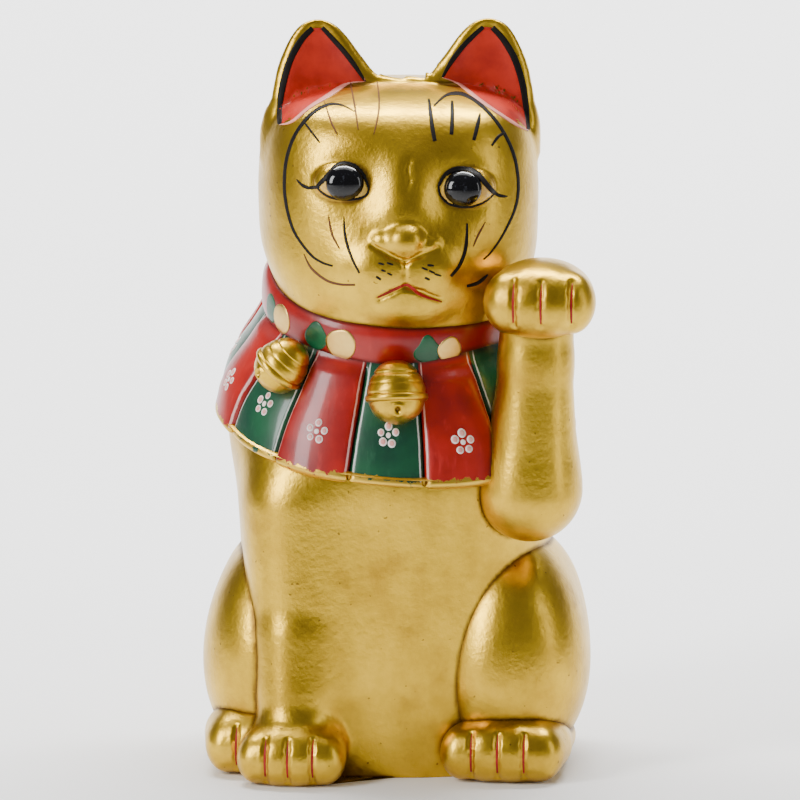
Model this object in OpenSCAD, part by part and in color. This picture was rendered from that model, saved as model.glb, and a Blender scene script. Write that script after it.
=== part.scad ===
// Beckoning cat savings bank: a hollow, gilded ceramic figure that sits with its left paw raised.
// The cat faces -Y, its left side is +X, and it stands on the plane z = 0.

/* [Torso] */
// Width across the shoulders
chest_w = 134; // [110:1:160]
// Depth of the chest, front to back
chest_d = 112; // [92:1:136]
// Height of the neck joint at the middle of the neck
neck_z = 189; // [176:1:215]
// Outer radius of the neck joint
neck_r = 46; // [42:0.5:48]
// Forward lean of the neck joint, in degrees
neck_lean = 17; // [10:0.5:20]
// Turn of that lean towards the cat's left, in degrees
neck_turn = 14; // [0:1:25]
// Wall of the cast shells
wall = 5; // [4:0.5:7]
// Slip line left between two pieces that are luted together
slip = 0.2; // [0.1:0.05:0.4]

/* [Collar and bib] */
// Thickness of the collar round the neck joint
collar_t = 7.5; // [6:0.5:12]
// Height of the collar band above the neck joint
collar_up = 7.5; // [6:0.5:9]
// Depth of the collar band below the neck joint
collar_down = 11; // [9:0.5:14]
// Drop of the hem below the neck joint
bib_drop = 48; // [40:1:56]
// Thickness of the bib at its hem
bib_t = 4.4; // [3:0.1:6]
// Amount that a red pleat stands proud of a green one
pleat_step = 1.2; // [0.6:0.1:2]
// Number of pairs of pleats
pleat_pairs = 8; // [6:1:10]
// Share of a pair that its red pleat takes
red_share = 0.52; // [0.45:0.01:0.6]
// Turn of the bib towards the cat's left, in degrees
bib_turn = 4; // [0:1:8]
// Drop of a bell's middle below the neck joint
bell_drop = 13.5; // [10:0.5:20]
// Radius of a bell's ball
bell_r = 12.2; // [9:0.1:14]
// Width of the flange round a bell's middle
bell_flange = 1; // [0.5:0.1:1.5]

/* [Head] */
// Width of the head
head_w = 110; // [100:1:130]
// Depth of the head
head_d = 105; // [98:1:124]
// Height of the crown above the neck joint
head_h = 82; // [72:1:98]
// Turn of the head towards the cat's left, in degrees
head_turn = 8; // [0:1:15]
// Height of an ear tip above the crown
ear_h = 27; // [18:1:34]
// Shift of both ears towards the cat's left
ear_shift = 1.6; // [0:0.2:3]
// Width of an ear at its root
ear_w = 40; // [34:1:44]
// Distance of an ear tip inside the side of the head
ear_tip_in = 22; // [18:1:28]
// Distance between the middles of the eyes
eye_gap = 48; // [40:1:54]
// Height of the eyes above the neck joint
eye_rise = 51; // [46:1:60]
// Radius of an eye bead
eye_r = 7.2; // [6:0.1:9]

/* [Legs] */
// Distance that a haunch stands out beyond the chest
haunch_out = 7.5; // [5:0.5:16]
// Shift of both haunches towards the cat's left
haunch_shift = 1.2; // [0:0.2:3]
// Width of a haunch
haunch_w = 56; // [48:1:66]
// Height of a haunch
haunch_h = 94; // [76:1:106]
// Distance of a hind paw's middle inside the side of the chest
hind_paw_in = 19.5; // [16:0.5:26]
// Width of a hind paw
hind_paw_w = 51; // [42:1:58]
// Height of a hind paw
hind_paw_h = 27; // [22:1:32]
// Distance of the hind toes ahead of the chest
hind_reach = 7; // [2:0.5:16]
// Distance of the standing leg's middle inside the side of the chest
foreleg_in = 32; // [26:0.5:38]
// Radius of the standing foreleg
foreleg_r = 15.5; // [13:0.5:18]
// Width of the standing forepaw
forepaw_w = 41; // [34:1:48]
// Distance of the front toes ahead of the chest
fore_reach = 20; // [12:1:30]
// Distance of the raised arm's middle inside the side of the chest
arm_in = 7.5; // [2:0.5:12]
// Distance of the raised arm's middle behind the front of the chest
arm_back = 14; // [8:1:20]
// Radius of the raised arm at the elbow
elbow_r = 19.5; // [17:0.5:23]
// Radius of the raised arm at the wrist
wrist_r = 14.5; // [12.5:0.5:17]
// Drop of the underside of the elbow below the neck joint
elbow_drop = 95; // [85:1:105]
// Drop of the underside of the raised paw below the neck joint
raised_paw_drop = 8; // [0:1:18]
// Width of the raised paw
raised_paw_w = 41.6; // [36:0.4:48]
// Height of the raised paw
raised_paw_h = 29; // [24:1:34]
// Radius of the tail
tail_r = 11; // [8:0.5:13]

/* [Bank] */
// Length of the coin slot
slot_l = 38; // [30:1:44]
// Width of the coin slot
slot_w = 5; // [4.5:0.5:6]
// Drop of the coin slot below the neck joint
slot_drop = 65; // [61:1:90]
// Radius of the hole in the base plate
hole_r = 16; // [13:0.5:20]
// Thickness of the base plate
plate_t = 6; // [5:0.5:8]
// Height of the base plate above the ground
plate_z = 4; // [3.5:0.5:6]
// Width of the ledge that the base plate seats against
ledge = 2; // [1.5:0.25:2.5]
// Radius that the stopper's flange has beyond the hole
flange_w = 4; // [3:0.5:6]
// Thickness of the stopper's flange
flange_t = 2.4; // [2:0.1:2.8]
// Radial gap between the stopper and its hole
stopper_gap = 0.05; // [0.02:0.01:0.1]

/* [Hidden] */
gold = "goldenrod";
red = "firebrick";
green = "darkgreen";
big = 900;
sides = 44;
square = 2.2;
ball_fn = 24;
egg_fn = 32;
pair_angle = 360 / pleat_pairs;
collar_r = neck_r + collar_t;
crown_z = neck_z + head_h;
slot_z = neck_z - slot_drop;
ear_tip_x = head_w / 2 - ear_tip_in;
haunch_x = (chest_w - haunch_w) / 2 + haunch_out;
hind_paw_x = chest_w / 2 - hind_paw_in;
hind_toes_y = -chest_d / 2 - hind_reach;
foreleg_x = chest_w / 2 - foreleg_in;
fore_toes_y = -chest_d / 2 - fore_reach;
arm_x = chest_w / 2 - arm_in;
arm_y = arm_back - chest_d / 2;
elbow_z = neck_z - elbow_drop;
raised_paw_z = neck_z - raised_paw_drop;
raised_paw_x = arm_x + 2;
tail_y = chest_d / 2 + 5;

NODES = concat(
    ["body_front", "body_rear", "base_plate", "base_stopper", "head_front", "head_rear",
     "ear_left", "ear_right", "eye_left", "eye_right", "collar",
     "haunch_left", "haunch_right", "hind_paw_left", "hind_paw_right", "foreleg_right",
     "raised_arm", "raised_paw", "tail", "bell_centre", "bell_right"],
    [for (i = [1:pleat_pairs]) str("pleat_red_", i)],
    [for (i = [1:pleat_pairs]) str("pleat_green_", i)]);
node = "all";

// The frame's origin is below the middle of the whole figure, and the torso stands off it.
haunch_edge = haunch_x + haunch_w / 2;
left_edge = max(haunch_edge + haunch_shift, raised_paw_x + raised_paw_w / 2);
back_edge = tail_y + tail_r;
origin = [(haunch_edge - haunch_shift - left_edge) / 2, -(fore_toes_y + back_edge) / 2, 0];

// ---- forms that are cast ------------------------------------------------------------------

// Rise of a leaning ring at the point (x, y): the neck and the hem are low in front.
function lean(x, y) = tan(neck_lean) * (y * cos(neck_turn) - x * sin(neck_turn));

// A station is [height, half width, depth in front, depth behind, share of the neck's lean].
// Station t on a smooth curve through the stations st, where t runs from 0 to 1.
function station(st, t) =
    let (last = len(st) - 1, i = min(floor(t * last), last - 1), u = t * last - i,
         from = (st[i + 1] - st[max(i - 1, 0)]) / 2, to = (st[min(i + 2, last)] - st[i]) / 2)
    (2 * u^3 - 3 * u^2 + 1) * st[i] + (u^3 - 2 * u^2 + u) * from
    + (3 * u^2 - 2 * u^3) * st[i + 1] + (u^3 - u^2) * to;

function power(v, e) = sign(v) * pow(abs(v), e);

// The points round a station, squarer than an ellipse, turned about the middle.
function ring(s, turn) = [for (k = [0:sides - 1])
    let (t = 360 * k / sides, u = s[1] * power(cos(t), 2 / square),
         v = (t > 180 ? s[2] : s[3]) * power(sin(t), 2 / square),
         x = u * cos(turn) - v * sin(turn), y = u * sin(turn) + v * cos(turn))
    [x, y, s[0] + s[4] * lean(x, y)]];

// The form through the stations, with every side moved out by grow.
module form(st, rows, grow = 0, turn = 0)
    loft([for (j = [0:rows]) ring(station(st, j / rows) + grow * [2 * j / rows - 1, 1, 1, 1, 0], turn)]);

// A closed solid through rings of equal length, with a cap fanned from the middle of each end.
module loft(rings) {
    m = len(rings[0]);
    last = len(rings) - 1;
    points = concat([for (r = rings, p = r) p], [middle(rings[0]), middle(rings[last])]);
    low = len(points) - 2;
    high = len(points) - 1;
    polyhedron(points, concat(
        [for (j = [0:last - 1], k = [0:m - 1]) [at(m, j, k), at(m, j + 1, k), at(m, j + 1, k + 1)]],
        [for (j = [0:last - 1], k = [0:m - 1]) [at(m, j, k), at(m, j + 1, k + 1), at(m, j, k + 1)]],
        [for (k = [0:m - 1]) [low, at(m, 0, k), at(m, 0, k + 1)]],
        [for (k = [0:m - 1]) [high, at(m, last, k + 1), at(m, last, k)]]));
}

function at(m, j, k) = j * m + k % m;
function middle(r) = [for (axis = [0:2]) [for (p = r) p[axis]] * [for (p = r) 1 / len(r)]];

// An egg of half sizes r about the point c.
module egg(c, r, fn = egg_fn) translate(c) scale(r) sphere(r = 1, $fn = fn);

// Cast clay is cut to its neighbours as one mesh.
module carved() resize([0, 0, 0]) children();

module below_ground() translate([-big / 2, -big / 2, -big]) cube(big);
module ahead(y) translate([-big / 2, y - big, -big / 2]) cube(big);
module sided(left) mirror([left ? 0 : 1, 0, 0]) children();

// ---- torso: two cast half shells and a base plate -------------------------------------------

torso_rows = 20;
hollow_rows = 12;
// The shoulders slope from the chest to the neck, and are half way between them under the bib.
shoulder_x = (chest_w / 2 + neck_r) / 2;
shoulder_y = (chest_d / 2 + neck_r) / 2;
torso_stations = [
    [0, chest_w / 2 - 7, chest_d / 2 - 6, chest_d / 2 + 2, 0],
    [neck_z * 0.16, chest_w / 2 - 6, chest_d / 2 - 3, chest_d / 2 + 6, 0],
    [neck_z * 0.37, chest_w / 2 - 5.5, chest_d / 2 - 1, chest_d / 2 + 5, 0],
    [neck_z * 0.56, chest_w / 2 - 3.5, chest_d / 2 + 1, chest_d / 2 + 1, 0.3],
    [neck_z - 51, chest_w / 2, chest_d / 2 + 2, chest_d / 2 - 3, 0.9],
    [neck_z - 30, shoulder_x + 1, shoulder_y + 1, shoulder_y - 3, 1],
    [neck_z - 13, neck_r + 1.5, neck_r - 0.5, neck_r - 1.5, 1],
    [neck_z, neck_r, neck_r * cos(neck_lean), neck_r * cos(neck_lean), 1]];

hollow_stations = concat([for (i = [0:len(torso_stations) - 1]) torso_stations[i] - wall * [0, 1, 1, 1, 0]],
    [torso_stations[len(torso_stations) - 1] + [8, -wall, -wall, -wall, 0]]);

module torso_form(grow = 0) form(torso_stations, torso_rows, grow);

// Outline of the base plate, and with gap = 0 of the rebate in the foot that it seats in.
module plate_outline(gap) polygon([for (p = ring(hollow_stations[0] + (ledge - gap) * [0, 1, 1, 1, 0], 0))
    [p[0], p[1]]]);

module torso_shell() difference() {
    torso_form();
    form(hollow_stations, hollow_rows);
    translate([0, 0, -1]) linear_extrude(plate_z + plate_t + slip + 1) plate_outline(0);
    translate([-slot_l / 2, 0, slot_z - slot_w / 2]) cube([slot_l, big, slot_w]);
}

module body_front() color(gold) carved() intersection() {
    torso_shell();
    ahead(-slip / 2);
}

module body_rear() color(gold) carved() difference() {
    torso_shell();
    ahead(slip / 2);
}

module base_plate() color("tan") translate([0, 0, plate_z]) difference() {
    linear_extrude(plate_t) plate_outline(slip);
    translate([0, 0, -1]) cylinder(r = hole_r, h = plate_t + 2, $fn = 96);
}

// A rubber plug that fills the hole, with a flange under the plate and a finger cup from below.
stopper_rise = 3;
stopper_taper = 2;
stopper_wall = 4;
stopper_r = hole_r - stopper_gap;

module base_stopper() color("dimgray") translate([0, 0, plate_z]) rotate_extrude($fn = 96) polygon([
    [0, plate_t + stopper_rise - stopper_wall],
    [hole_r - stopper_wall, plate_t + stopper_rise - stopper_wall], [hole_r - stopper_wall, -flange_t],
    [hole_r + flange_w - 1, -flange_t], [hole_r + flange_w, -flange_t / 2],
    [hole_r + flange_w, -slip], [stopper_r, -slip], [stopper_r, plate_t],
    [hole_r - stopper_taper, plate_t + stopper_rise], [0, plate_t + stopper_rise]]);

// ---- head: two cast half shells, with ears and eyes -------------------------------------------

head_rows = 18;
head_x = 1;
head_y = -2;
head_stations = [
    [neck_z + slip, neck_r, neck_r * cos(neck_lean) - head_y / 2, neck_r * cos(neck_lean) + head_y / 2, 1],
    [neck_z + 9, neck_r + 4.5, neck_r + 1.5, neck_r + 0.5, 1],
    [neck_z + head_h * 0.24, head_w / 2 - 1, head_d / 2 - 1, head_d / 2 - 1, 0.7],
    [neck_z + head_h * 0.4, head_w / 2, head_d / 2, head_d / 2 + 1, 0.35],
    [neck_z + head_h * 0.57, head_w / 2 - 0.3, head_d / 2 - 1, head_d / 2 + 1, 0.1],
    [neck_z + head_h * 0.76, head_w / 2 - 1.8, head_d / 2 - 4.5, head_d / 2 - 2, 0],
    [neck_z + head_h * 0.9, head_w / 2 - 7, head_d / 2 - 12, head_d / 2 - 8, 0],
    [neck_z + head_h * 0.975, head_w / 2 - 21, head_d / 2 - 26, head_d / 2 - 22, 0],
    [crown_z, head_w / 2 - 44, head_d / 2 - 44, head_d / 2 - 42, 0]];

// The head's own frame: its middle stands over the neck, turned towards the cat's left.
module at_head() translate([head_x, head_y, 0]) rotate([0, 0, head_turn]) children();

module muzzle() at_head() {
    hull() {
        for (side = [-1, 1]) egg([side * 9, -head_d / 2 + 5, neck_z + head_h * 0.19], [13, 9, 11], ball_fn);
        egg([0, -head_d / 2 + 2, neck_z + head_h * 0.36], [9, 7, 7], ball_fn);
    }
    hull() {
        egg([0, -head_d / 2 + 2, neck_z + head_h * 0.36], [9, 7, 7], ball_fn);
        egg([0, -head_d / 2 + 8, neck_z + head_h * 0.7], [6, 7, 6], ball_fn);
    }
}

module head_form(grow = 0, rows = head_rows)
    translate([head_x, head_y, lean(head_x, head_y)]) form(head_stations, rows, grow, head_turn);

module head_shell() difference() {
    union() {
        head_form();
        muzzle();
    }
    difference() {
        head_form(-wall, hollow_rows);
        over_neck(0, -1);
    }
    at_neck() translate([0, 0, -wall]) cylinder(r = neck_r - wall, h = 2 * wall + 2, $fn = 64);
    for (side = [-1, 1]) eye_seat(side) translate([0, 0, -slip]) cylinder(r = eye_r + slip, h = big, $fn = 48);
}

module head_front() color(gold) carved() intersection() {
    head_shell();
    ahead(-slip / 2);
}

module head_rear() color(gold) carved() difference() {
    head_shell();
    ahead(slip / 2);
}

// An eye is a glazed dome in a round seat that is cut into the face.
eye_dome = 2.6;
eye_edge = 1.6;
eye_depth = 8;

module eye_seat(side) at_head() translate([side * eye_gap / 2, -head_d / 2 + eye_depth, neck_z + eye_rise])
    rotate([85, 0, side * 22]) children();

module eye(side) color("black") eye_seat(side) rotate_extrude($fn = 64) {
    dome_r = (eye_r^2 + eye_dome^2) / (2 * eye_dome);
    square([eye_r, eye_edge]);
    intersection() {
        translate([0, eye_edge + eye_dome - dome_r]) circle(r = dome_r, $fn = 128);
        translate([0, eye_edge - 0.01]) square([eye_r, eye_dome + 1]);
    }
}

// An ear is a pinched cone with a scooped front, and its root is cut to the crown.
ear_root_z = crown_z - 18;

module ear(side) color(gold) carved() difference() {
    at_head() translate([ear_shift, 0, 0]) sided(side > 0) difference() {
        hull() {
            egg([ear_tip_x, 0, crown_z + ear_h - 5], [5.5, 3, 5], ball_fn);
            egg([head_w / 2 - 4, -4, ear_root_z], [3, 4, 5], ball_fn);
            egg([head_w / 2 - ear_w + 1, -8, crown_z - 4], [4, 3, 4], ball_fn);
            egg([ear_tip_x - 1, 12, ear_root_z + 6], [14, 9, 9], ball_fn);
        }
        hull() {
            egg([ear_tip_x, -8, crown_z + ear_h - 10], [3, 6, 4], ball_fn);
            egg([head_w / 2 - 9, -14, ear_root_z + 8], [3, 6, 4], ball_fn);
            egg([head_w / 2 - ear_w + 6, -14, crown_z - 1], [3, 6, 3], ball_fn);
            egg([ear_tip_x, -1, crown_z], [6, 5, 6], ball_fn);
        }
    }
    head_form(slip);
}

// ---- collar and pleated bib -------------------------------------------------------------------

// The neck's own frame: origin at the middle of the neck joint, +Z up the neck.
module at_neck() translate([0, 0, neck_z]) rotate([0, 0, neck_turn]) rotate([neck_lean, 0, 0])
    rotate([0, 0, -neck_turn]) children();

// The space above the neck joint, or below it where way is -1.
module over_neck(z, way = 1) at_neck() translate([-big / 2, -big / 2, way > 0 ? z : z - big]) cube(big);

collar_edge = 4;

module collar_form(grow = 0) at_neck() rotate_extrude($fn = 48) {
    hull() for (z = [collar_edge - collar_down, collar_up - collar_edge])
        translate([collar_r - collar_edge, z]) circle(r = collar_edge + grow, $fn = 12);
    translate([neck_r - wall, -collar_down - grow])
        square([collar_r - collar_edge - neck_r + wall, collar_up + collar_down + 2 * grow]);
}

module collar() color(red) carved() difference() {
    collar_form();
    torso_form(slip);
    head_form(slip);
}

bib_rows = 7;
bib_stations = [
    [neck_z - bib_drop, chest_w / 2 + bib_t - 1.8, chest_d / 2 + bib_t + 2.6, chest_d / 2 + bib_t - 3, 1],
    [neck_z - bib_drop * 0.72, (chest_w / 2 + shoulder_x) / 2 + bib_t - 0.4,
        (chest_d / 2 + shoulder_y) / 2 + bib_t + 1.9, (chest_d / 2 + shoulder_y) / 2 + bib_t - 3.1, 1],
    [neck_z - bib_drop * 0.42, shoulder_x + bib_t - 4.1, shoulder_y + bib_t - 2, shoulder_y + bib_t - 5.6, 1],
    [neck_z - bib_drop * 0.18, neck_r + 4.6, neck_r + 2.6, neck_r + 1.6, 1],
    [neck_z, neck_r + 4, neck_r + 2, neck_r + 1, 1]];

module bib_form(grow = 0) form(bib_stations, bib_rows, grow);

// A wedge about the neck's axis between two angles, where 0 is the front and + is the cat's left.
module wedge(a, b) at_neck() translate([0, 0, -big / 2]) linear_extrude(big) polygon(concat([[0, 0]],
    [for (t = [a, (a + b) / 2, b]) big * [sin(t), -cos(t)]]));

module pleat(a, b, proud) carved() difference() {
    intersection() {
        bib_form(proud);
        wedge(a + slip / 2, b - slip / 2);
        over_neck(-collar_down, -1);
    }
    torso_form(slip);
    collar_form(slip);
}

// Green pleats lie at whole pairs from the front, with a red one to the left of each.
function green_end(i) = bib_turn + (i - 1) * pair_angle + (1 - red_share) / 2 * pair_angle;
module pleat_green(i) color(green) pleat(green_end(i) - (1 - red_share) * pair_angle, green_end(i), 0);
module pleat_red(i) color(red) pleat(green_end(i), green_end(i) + red_share * pair_angle, pleat_step);

// A bell is a ball with a flange round its middle, stuck on a green pleat below the collar.
module bell_form(i, grow = 0) at_neck() rotate([0, 0, bib_turn + i * pair_angle])
    translate([0, -collar_r - bell_r, -bell_drop]) {
        sphere(r = bell_r + grow, $fn = ball_fn);
        rotate([-24, 0, 0]) translate([0, 0, -bell_flange - grow])
            cylinder(r = bell_r + bell_flange + grow, h = 2 * (bell_flange + grow), $fn = ball_fn);
    }

module bell(i) color(gold) carved() difference() {
    bell_form(i);
    bib_form(slip);
    collar_form(slip);
    arm_form(slip);
    paw_form(slip);
}

// ---- legs ---------------------------------------------------------------------------------------

haunch_l = 90;

// A haunch of the left or right side: a high egg, filled out towards the ground.
module haunch_form(left, grow = 0) translate([haunch_shift, 0, 0]) sided(left) hull() {
    egg([haunch_x, -2, haunch_h * 0.58],
        [haunch_w / 2 + grow, haunch_l / 2 + grow, haunch_h * 0.42 + grow]);
    egg([haunch_x - 3, -9, haunch_h * 0.32],
        [haunch_w / 2 - 1 + grow, haunch_l / 2 - 5 + grow, haunch_h * 0.32 + grow]);
}

module haunch(left) color(gold) carved() difference() {
    haunch_form(left);
    torso_form(slip);
    below_ground();
}

hind_toe_d = 22;

module hind_paw_form(left, grow = 0) sided(left) hull() {
    egg([hind_paw_x, hind_toes_y + hind_toe_d, hind_paw_h * 0.44],
        [hind_paw_w / 2 + grow, hind_toe_d + grow, hind_paw_h * 0.56 + grow], ball_fn);
    egg([hind_paw_x + 1, hind_toes_y + 2.4 * hind_toe_d, hind_paw_h * 0.42],
        [hind_paw_w / 2 - 1 + grow, hind_toe_d + grow, hind_paw_h * 0.5 + grow], ball_fn);
}

module hind_paw(left) color(gold) carved() difference() {
    hind_paw_form(left);
    torso_form(slip);
    haunch_form(left, slip);
    below_ground();
}

foreleg_y = -chest_d / 2 + foreleg_r - 4;
foreleg_top = neck_z - 86;

module foreleg_form(grow = 0) {
    hull() {
        egg([-foreleg_x - 2, foreleg_y + 5, foreleg_top], (foreleg_r + grow) * [1, 1, 1.4], ball_fn);
        egg([-foreleg_x, foreleg_y - 2, 30], (foreleg_r + grow) * [1, 1, 1], ball_fn);
    }
    hull() {
        egg([-foreleg_x, foreleg_y - 2, 30], (foreleg_r + grow) * [1, 1, 1], ball_fn);
        egg([-foreleg_x - 1, fore_toes_y + 19, 11.5], [forepaw_w / 2 + grow, 19 + grow, 14 + grow], ball_fn);
    }
}

module foreleg_right() color(gold) carved() difference() {
    foreleg_form();
    torso_form(slip);
    haunch_form(false, slip);
    hind_paw_form(false, slip);
    bib_form(slip + pleat_step);
    below_ground();
}

module arm_form(grow = 0) hull() {
    egg([arm_x - 1, arm_y, elbow_z + elbow_r * 1.15],
        [elbow_r + grow, elbow_r * 1.1 + grow, elbow_r * 1.15 + grow]);
    egg([arm_x, arm_y - 2, raised_paw_z + 4], [wrist_r + grow, wrist_r + grow, 6 + grow], ball_fn);
}

raised_paw_d = 23;

module paw_form(grow = 0) egg([raised_paw_x, arm_y - 9, raised_paw_z + raised_paw_h / 2],
    [raised_paw_w / 2 + grow, raised_paw_d + grow, raised_paw_h / 2 + grow], ball_fn);

module raised_arm() color(gold) carved() difference() {
    arm_form();
    torso_form(slip);
    bib_form(slip + pleat_step);
    collar_form(slip);
    head_form(slip);
    haunch_form(true, slip);
    paw_form(slip);
}

module raised_paw() color(gold) carved() difference() {
    paw_form();
    head_form(slip);
    collar_form(slip);
}

module tail() color(gold) carved() difference() {
    hull() {
        egg([-4, tail_y, tail_r * 1.2], tail_r * [1.4, 1, 1.2], ball_fn);
        egg([20, tail_y - 3, tail_r], tail_r * [1, 1, 1], ball_fn);
    }
    torso_form(slip);
    below_ground();
}

// ---- nodes -----------------------------------------------------------------------------------------

function wanted(name) = node == "all" || node == name;

translate(origin) {
    if (wanted("body_front")) body_front();
    if (wanted("body_rear")) body_rear();
    if (wanted("base_plate")) base_plate();
    if (wanted("base_stopper")) base_stopper();
    if (wanted("head_front")) head_front();
    if (wanted("head_rear")) head_rear();
    if (wanted("ear_left")) ear(1);
    if (wanted("ear_right")) ear(-1);
    if (wanted("eye_left")) eye(1);
    if (wanted("eye_right")) eye(-1);
    if (wanted("collar")) collar();
    if (wanted("haunch_left")) haunch(true);
    if (wanted("haunch_right")) haunch(false);
    if (wanted("hind_paw_left")) hind_paw(true);
    if (wanted("hind_paw_right")) hind_paw(false);
    if (wanted("foreleg_right")) foreleg_right();
    if (wanted("raised_arm")) raised_arm();
    if (wanted("raised_paw")) raised_paw();
    if (wanted("tail")) tail();
    if (wanted("bell_centre")) bell(0);
    if (wanted("bell_right")) bell(-1);
    for (i = [1:pleat_pairs]) {
        if (wanted(str("pleat_red_", i))) pleat_red(i);
        if (wanted(str("pleat_green_", i))) pleat_green(i);
    }
}
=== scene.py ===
import math

import bmesh
import bpy
import numpy as np
from mathutils import Matrix, Vector
from mathutils.bvhtree import BVHTree


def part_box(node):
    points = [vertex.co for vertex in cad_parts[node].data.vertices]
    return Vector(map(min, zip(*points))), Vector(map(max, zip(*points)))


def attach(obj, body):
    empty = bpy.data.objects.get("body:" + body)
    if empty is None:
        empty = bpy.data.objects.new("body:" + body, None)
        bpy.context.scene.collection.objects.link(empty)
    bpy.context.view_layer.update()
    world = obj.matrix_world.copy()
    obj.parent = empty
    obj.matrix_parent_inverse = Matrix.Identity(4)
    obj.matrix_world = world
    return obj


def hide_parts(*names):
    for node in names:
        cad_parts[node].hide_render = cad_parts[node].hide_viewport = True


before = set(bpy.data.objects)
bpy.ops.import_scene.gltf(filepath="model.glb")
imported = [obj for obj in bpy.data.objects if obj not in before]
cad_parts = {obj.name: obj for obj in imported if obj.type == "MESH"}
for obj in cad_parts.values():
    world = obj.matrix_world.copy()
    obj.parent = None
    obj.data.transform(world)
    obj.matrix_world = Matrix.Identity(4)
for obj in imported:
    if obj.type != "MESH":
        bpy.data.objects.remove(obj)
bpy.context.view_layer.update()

# ---- Studio --------------------------------------------------------------------------------------
# A pale sweep of paper under and behind the cat, one large softbox to its right, a weaker one to
# its left, one overhead and one for the paper. The camera is far off with a long lens, a little
# above and to its left.
azimuth, elevation = math.radians(5), math.radians(10)
back = Vector((math.sin(azimuth) * math.cos(elevation), -math.cos(azimuth) * math.cos(elevation),
               math.sin(elevation)))
aim = Vector((-0.003, 0.002, 0.1437))
camera = bpy.data.objects.new("camera", bpy.data.cameras.new("camera"))
camera.data.lens = 450
camera.data.sensor_width = 36
camera.location = aim + back * 4
camera.rotation_euler = (-back).to_track_quat("-Z", "Y").to_euler()
bpy.context.collection.objects.link(camera)
bpy.context.scene.camera = camera


def softbox(name, place, size, watts, target=aim):
    lamp = bpy.data.objects.new(name, bpy.data.lights.new(name, "AREA"))
    lamp.data.shape = "RECTANGLE"
    lamp.data.size, lamp.data.size_y = size
    lamp.data.energy = watts
    lamp.location = place
    lamp.rotation_euler = (Vector(place) - target).to_track_quat("Z", "Y").to_euler()
    bpy.context.collection.objects.link(lamp)


softbox("key_softbox", (-0.78, -0.72, 0.6), (0.3, 0.8), 13.5)
softbox("fill_softbox", (0.95, -0.3, 0.35), (0.14, 0.8), 1.5)
softbox("top_softbox", (0.0, 0.15, 1.1), (0.9, 0.5), 5.5)
softbox("paper_softbox", (0.0, 0.35, 1.3), (1.4, 0.3), 60, Vector((0, 1.1, 0.35)))

world = bpy.data.worlds.new("room")
bpy.context.scene.world = world
world.use_nodes = True
world.node_tree.nodes["Background"].inputs["Color"].default_value = (0.9, 0.89, 0.88, 1)
world.node_tree.nodes["Background"].inputs["Strength"].default_value = 0.22


class Wire:
    """An output of a shader node. Sums written on it become Math nodes."""

    def __init__(self, paint, socket):
        self.paint, self.socket = paint, socket

    def sum(self, operation, *values):
        return self.paint.node("Math", {"operation": operation}, dict(enumerate(values)))

    def __add__(self, other): return self.sum("ADD", self, other)
    def __radd__(self, other): return self.sum("ADD", other, self)
    def __sub__(self, other): return self.sum("SUBTRACT", self, other)
    def __rsub__(self, other): return self.sum("SUBTRACT", other, self)
    def __mul__(self, other): return self.sum("MULTIPLY", self, other)
    def __rmul__(self, other): return self.sum("MULTIPLY", other, self)

    def step(self, low, high):
        """0 below low, 1 above high, smooth between."""
        return self.paint.node("MapRange", {"interpolation_type": "SMOOTHSTEP"},
                               {"Value": self, "From Min": low, "From Max": high})


class Paint:
    """A material while it is mixed. node() makes any shader node and gives back one of its outputs."""

    def __init__(self, name, **sockets):
        self.material = bpy.data.materials.new(name)
        self.material.use_nodes = True
        self.tree = self.material.node_tree
        self.shader = self.tree.nodes["Principled BSDF"]
        self.place = self.node("TexCoord", output="Object")
        self.set(**sockets)

    def plug(self, socket, value):
        if isinstance(value, Wire):
            self.tree.links.new(value.socket, socket)
        elif isinstance(value, tuple) and socket.type == "RGBA":
            socket.default_value = (*value, 1)
        else:
            socket.default_value = value

    def node(self, kind, settings=None, inputs=None, output=0):
        new = self.tree.nodes.new("ShaderNode" + kind)
        for name, value in (settings or {}).items():
            setattr(new, name, value)
        for name, value in (inputs or {}).items():
            self.plug(new.inputs[name], value)
        return Wire(self, new.outputs[output])

    def set(self, **sockets):
        for name, value in sockets.items():
            self.plug(self.shader.inputs[name.replace("_", " ")], value)
        return self

    def noise(self, scale, detail=3.0, rough=0.55, stretch=None):
        where = self.place
        if stretch:
            where = self.node("VectorMath", {"operation": "MULTIPLY"}, {0: where, 1: stretch})
        return self.node("TexNoise", {}, {"Vector": where, "Scale": scale, "Detail": detail,
                                          "Roughness": rough})

    def mix(self, a, b, factor):
        new = self.tree.nodes.new("ShaderNodeMix")
        new.data_type = "RGBA"
        for index, value in ((0, factor), (6, a), (7, b)):
            self.plug(new.inputs[index], value)
        return Wire(self, new.outputs[2])

    def bump(self, height, depth):
        return self.node("Bump", {}, {"Height": height, "Distance": depth, "Strength": 1.0})

    def mask(self, name):
        """The value of a vertex attribute at this place."""
        return self.node("Attribute", {"attribute_name": name}, output="Fac")


def paper_paint():
    p = Paint("paper_paint", Roughness=0.75)
    p.set(Base_Color=p.mix((0.90, 0.90, 0.90), (0.94, 0.94, 0.94), p.noise(6)))
    see_through = p.node("BsdfTransparent")
    from_below = p.node("NewGeometry", output="Backfacing")
    both = p.node("MixShader", {}, {0: from_below, 1: Wire(p, p.shader.outputs[0]), 2: see_through})
    p.tree.links.new(both.socket, p.tree.nodes["Material Output"].inputs["Surface"])
    return p.material


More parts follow.
